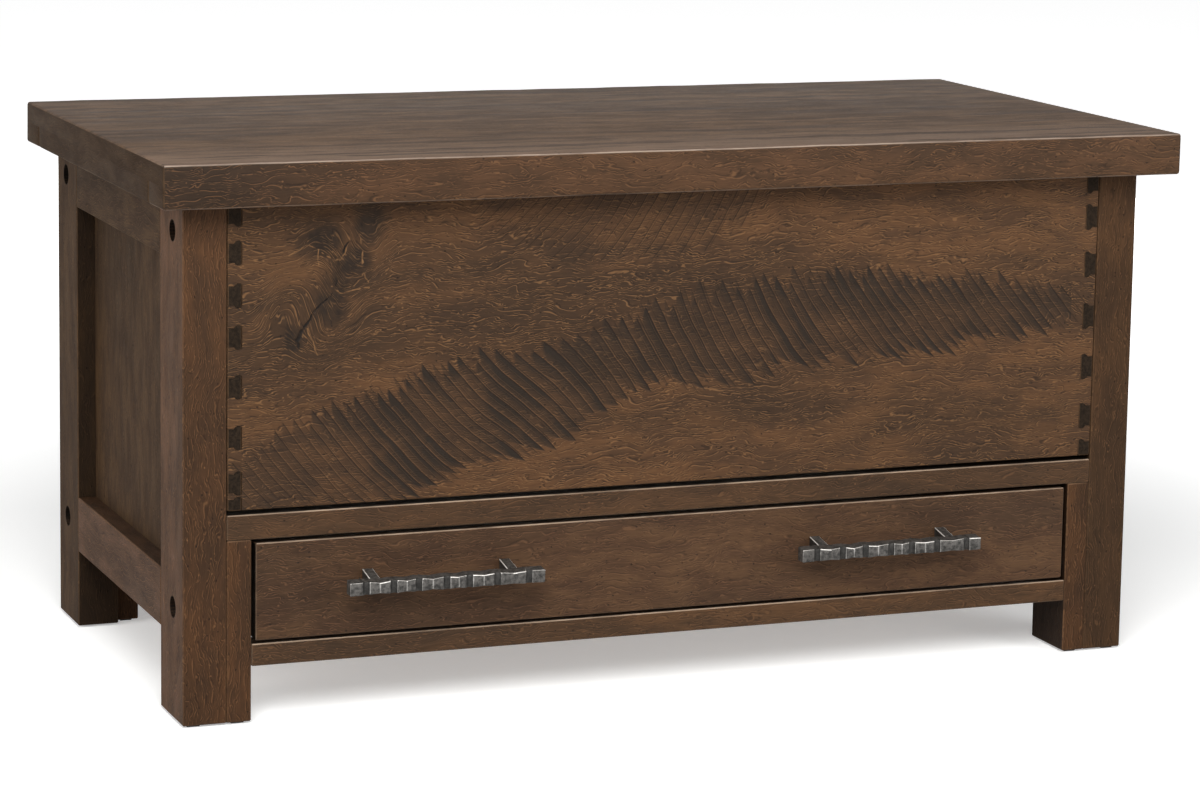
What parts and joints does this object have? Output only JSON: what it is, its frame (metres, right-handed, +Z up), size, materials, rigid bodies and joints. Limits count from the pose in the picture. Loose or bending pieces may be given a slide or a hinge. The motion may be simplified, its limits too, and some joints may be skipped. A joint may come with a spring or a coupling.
{
  "type": "blanket chest",
  "caption": "Frame and panel blanket chest with a thick lift-up lid, a dovetailed box and a full-width drawer with hammered bar pulls.",
  "frame": {"origin": "on the floor, under the middle of the lid", "axes": "+X along the width, to the right seen from the front; the front faces -Y; +Z up"},
  "size_m": [1.22, 0.63, 0.624],
  "materials": {
    "stained_board": "dark walnut stain on rough-sawn boards, satin oil",
    "stained_lid": "dark stain, smoother, satin",
    "stained_frame": "dark grey-brown stain, satin",
    "end_grain": "stained end grain, matt",
    "inner_board": "plain inner wood, matt",
    "hammered_steel": "hammered, dark, worn at the edges",
    "slide_steel": "zinc plated",
    "hinge_steel": "dark, satin",
    "pad": "matt"
  },
  "bodies": {
    "chest": {"post_front_left": "stained_frame", "post_front_right": "stained_frame", "post_back_left": "stained_frame", "post_back_right": "stained_frame", "leg_block_front_left": "stained_frame", "leg_block_front_right": "stained_frame", "leg_block_back_left": "stained_frame", "leg_block_back_right": "stained_frame", "glide_front_left": "pad", "glide_front_right": "pad", "glide_back_left": "pad", "glide_back_right": "pad", "side_rail_top_left": "stained_frame", "side_rail_top_right": "stained_frame", "side_rail_bottom_left": "stained_frame", "side_rail_bottom_right": "stained_frame", "end_panel_left": "stained_frame", "end_panel_right": "stained_frame", "peg_top_front_left": "end_grain", "peg_top_front_right": "end_grain", "peg_top_back_left": "end_grain", "peg_top_back_right": "end_grain", "peg_bottom_front_left": "end_grain", "peg_bottom_front_right": "end_grain", "peg_bottom_back_left": "end_grain", "peg_bottom_back_right": "end_grain", "front_middle_rail": "stained_board", "front_lower_rail": "stained_board", "back_middle_rail": "stained_board", "back_lower_rail": "stained_board", "back_lower_panel": "inner_board", "box_front": "stained_board", "box_back": "stained_board", "box_side_left": "end_grain", "box_side_right": "end_grain", "box_floor": "inner_board", "slide_case_member_left": "slide_steel", "slide_case_member_right": "slide_steel", "slide_cleat_left": "inner_board", "slide_cleat_right": "inner_board", "hinge_case_leaf": "hinge_steel", "hinge_pin": "hinge_steel"},
    "lid": {"lid_panel": "stained_lid", "lid_strip_front": "stained_lid", "lid_strip_back": "stained_lid", "lid_strip_left": "stained_lid", "lid_strip_right": "stained_lid", "hinge_lid_leaf": "hinge_steel"},
    "drawer": {"drawer_front": "stained_board", "drawer_inner_front": "inner_board", "drawer_side_left": "inner_board", "drawer_side_right": "inner_board", "drawer_back": "inner_board", "drawer_bottom": "inner_board", "pull_left": "hammered_steel", "pull_right": "hammered_steel", "slide_drawer_member_left": "slide_steel", "slide_drawer_member_right": "slide_steel"},
    "slide_middle_left": {"slide_middle_member_left": "slide_steel"},
    "slide_middle_right": {"slide_middle_member_right": "slide_steel"}
  },
  "joints": [
    {"name": "lid_hinge", "type": "hinge", "parent": "chest", "child": "lid", "pos_m": [0, 0.2975, 0.5705], "axis": [-1, 0, 0], "range_deg": [0, 95]},
    {"name": "drawer_slide", "type": "slide", "parent": "chest", "child": "drawer", "axis": [0, -1, 0], "range_m": [0, 0.45]},
    {"name": "slide_left_middle_travel", "type": "slide", "parent": "chest", "child": "slide_middle_left", "axis": [0, -1, 0], "range_m": [0, 0.225]},
    {"name": "slide_right_middle_travel", "type": "slide", "parent": "chest", "child": "slide_middle_right", "axis": [0, -1, 0], "range_m": [0, 0.225]}
  ],
  "couplings": [
    {"joint": "slide_left_middle_travel", "follows": "drawer_slide", "ratio": 0.5},
    {"joint": "slide_right_middle_travel", "follows": "drawer_slide", "ratio": 0.5}
  ]
}
